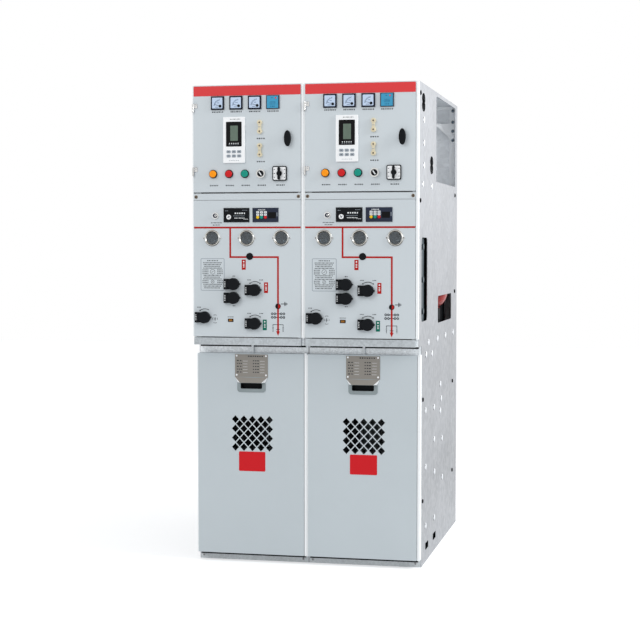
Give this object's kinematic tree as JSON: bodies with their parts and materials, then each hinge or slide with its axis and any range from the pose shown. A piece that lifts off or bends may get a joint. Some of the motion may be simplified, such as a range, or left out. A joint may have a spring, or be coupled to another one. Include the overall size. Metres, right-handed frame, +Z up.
{
  "type": "solid insulated switchgear",
  "caption": "Sheet-metal switchgear cubicles side by side, with hinged instrument doors, lidded operating spindles and lift-off cable doors.",
  "frame": {"origin": "middle of the base on the floor, centred on the whole object's width and depth", "axes": "+X to the right seen from the front, +Y to the back, +Z up"},
  "size_m": [0.8396, 1.0822, 1.762],
  "materials": {
    "galvanised": "spangled zinc, satin",
    "grey_paint": "light grey powder coat",
    "chrome": "bright plated",
    "glass": "clear",
    "black_plastic": "satin black",
    "slate_plastic": "slate blue",
    "navy_plastic": "dark navy",
    "white_plastic": "off-white",
    "lamp_plastic": "coloured translucent lenses in dark rings",
    "grey_plastic": "grey",
    "steel": "bright turned",
    "dark_steel": "dark grey",
    "red_epoxy": "cast epoxy resin, red",
    "black_rubber": "moulded silicone rubber"
  },
  "bodies": {
    "cabinet": {"side_sheet_left_outer": "galvanised", "side_sheet_left_inner": "galvanised", "side_sheet_right_inner": "galvanised", "side_sheet_right_outer": "galvanised", "front_uprights": "galvanised", "front_edge_strips": "grey_paint", "roof_sheets": "galvanised", "rear_covers": "galvanised", "rear_posts": "galvanised", "rear_rails": "galvanised", "base_rails": "galvanised", "floor_plates": "galvanised", "partition_plates": "galvanised", "instrument_floors": "galvanised", "instrument_back_walls": "galvanised", "cross_strips": "galvanised", "strip_end_blocks": "galvanised", "mechanism_panels": "grey_paint", "panel_top_strips": "grey_paint", "window_bezels": "chrome", "window_glass": "glass", "fault_modules": "black_plastic", "voltage_modules": "slate_plastic", "key_locks": "chrome", "operating_spindles": "steel", "lid_hinge_blocks": "black_plastic", "mechanism_frames": "dark_steel", "epoxy_modules": "red_epoxy", "busbar_sleeves": "black_rubber", "hinge_frame_leaves": "chrome", "door_hook_pins": "steel"},
    "instrument_door_left": {"instrument_door_left": "grey_paint", "panel_meters_left": "navy_plastic", "protection_relay_left": "white_plastic", "signal_lamps_left": "lamp_plastic", "door_fittings_left": "black_plastic"},
    "lock_handle_left": {"lock_handle_left": "black_plastic"},
    "selector_knob_left": {"selector_knob_left": "black_plastic"},
    "cable_door_left": {"cable_door_left": "grey_paint", "pull_handle_left": "grey_plastic"},
    "operating_lid_left_1": {"operating_lid_left_1": "black_plastic"},
    "operating_lid_left_2": {"operating_lid_left_2": "black_plastic"},
    "operating_lid_left_3": {"operating_lid_left_3": "black_plastic"},
    "operating_lid_left_4": {"operating_lid_left_4": "black_plastic"},
    "operating_lid_left_5": {"operating_lid_left_5": "black_plastic"},
    "instrument_door_right": {"instrument_door_right": "grey_paint", "panel_meters_right": "navy_plastic", "protection_relay_right": "white_plastic", "signal_lamps_right": "lamp_plastic", "door_fittings_right": "black_plastic"},
    "lock_handle_right": {"lock_handle_right": "black_plastic"},
    "selector_knob_right": {"selector_knob_right": "black_plastic"},
    "cable_door_right": {"cable_door_right": "grey_paint", "pull_handle_right": "grey_plastic"},
    "operating_lid_right_1": {"operating_lid_right_1": "black_plastic"},
    "operating_lid_right_2": {"operating_lid_right_2": "black_plastic"},
    "operating_lid_right_3": {"operating_lid_right_3": "black_plastic"},
    "operating_lid_right_4": {"operating_lid_right_4": "black_plastic"},
    "operating_lid_right_5": {"operating_lid_right_5": "black_plastic"}
  },
  "joints": [
    {"name": "instrument_door_left_swing", "type": "hinge", "parent": "cabinet", "child": "instrument_door_left", "pos_m": [-0.416, -0.52285, 1.368], "axis": [0, 0, -1], "range_deg": [0, 100]},
    {"name": "lock_handle_left_turn", "type": "hinge", "parent": "instrument_door_left", "child": "lock_handle_left", "pos_m": [-0.0581, -0.51885, 1.56303], "axis": [0, 1, 0], "range_deg": [0, 90]},
    {"name": "selector_knob_left_turn", "type": "hinge", "parent": "instrument_door_left", "child": "selector_knob_left", "pos_m": [-0.0892, -0.51885, 1.43695], "axis": [0, 1, 0], "range_deg": [0, 90]},
    {"name": "cable_door_left_lift", "type": "slide", "parent": "cabinet", "child": "cable_door_left", "axis": [0, 0, 1], "range_m": [0, 0.02]},
    {"name": "operating_lid_left_1_swing", "type": "hinge", "parent": "cabinet", "child": "operating_lid_left_1", "pos_m": [-0.28533, -0.53385, 1.03478], "axis": [0, 0, -1], "range_deg": [0, 100]},
    {"name": "operating_lid_left_2_swing", "type": "hinge", "parent": "cabinet", "child": "operating_lid_left_2", "pos_m": [-0.28533, -0.53385, 0.98408], "axis": [0, 0, -1], "range_deg": [0, 100]},
    {"name": "operating_lid_left_3_swing", "type": "hinge", "parent": "cabinet", "child": "operating_lid_left_3", "pos_m": [-0.20554, -0.53385, 1.01319], "axis": [0, 0, -1], "range_deg": [0, 100]},
    {"name": "operating_lid_left_4_swing", "type": "hinge", "parent": "cabinet", "child": "operating_lid_left_4", "pos_m": [-0.39627, -0.53385, 0.91179], "axis": [0, 0, -1], "range_deg": [0, 100]},
    {"name": "operating_lid_left_5_swing", "type": "hinge", "parent": "cabinet", "child": "operating_lid_left_5", "pos_m": [-0.20554, -0.53385, 0.8907], "axis": [0, 0, -1], "range_deg": [0, 100]},
    {"name": "instrument_door_right_swing", "type": "hinge", "parent": "cabinet", "child": "instrument_door_right", "pos_m": [0.004, -0.52285, 1.368], "axis": [0, 0, -1], "range_deg": [0, 100]},
    {"name": "lock_handle_right_turn", "type": "hinge", "parent": "instrument_door_right", "child": "lock_handle_right", "pos_m": [0.3619, -0.51885, 1.56303], "axis": [0, 1, 0], "range_deg": [0, 90]},
    {"name": "selector_knob_right_turn", "type": "hinge", "parent": "instrument_door_right", "child": "selector_knob_right", "pos_m": [0.3308, -0.51885, 1.43695], "axis": [0, 1, 0], "range_deg": [0, 90]},
    {"name": "cable_door_right_lift", "type": "slide", "parent": "cabinet", "child": "cable_door_right", "axis": [0, 0, 1], "range_m": [0, 0.02]},
    {"name": "operating_lid_right_1_swing", "type": "hinge", "parent": "cabinet", "child": "operating_lid_right_1", "pos_m": [0.13467, -0.53385, 1.03478], "axis": [0, 0, -1], "range_deg": [0, 100]},
    {"name": "operating_lid_right_2_swing", "type": "hinge", "parent": "cabinet", "child": "operating_lid_right_2", "pos_m": [0.13467, -0.53385, 0.98408], "axis": [0, 0, -1], "range_deg": [0, 100]},
    {"name": "operating_lid_right_3_swing", "type": "hinge", "parent": "cabinet", "child": "operating_lid_right_3", "pos_m": [0.21446, -0.53385, 1.01319], "axis": [0, 0, -1], "range_deg": [0, 100]},
    {"name": "operating_lid_right_4_swing", "type": "hinge", "parent": "cabinet", "child": "operating_lid_right_4", "pos_m": [0.02373, -0.53385, 0.91179], "axis": [0, 0, -1], "range_deg": [0, 100]},
    {"name": "operating_lid_right_5_swing", "type": "hinge", "parent": "cabinet", "child": "operating_lid_right_5", "pos_m": [0.21446, -0.53385, 0.8907], "axis": [0, 0, -1], "range_deg": [0, 100]}
  ]
}
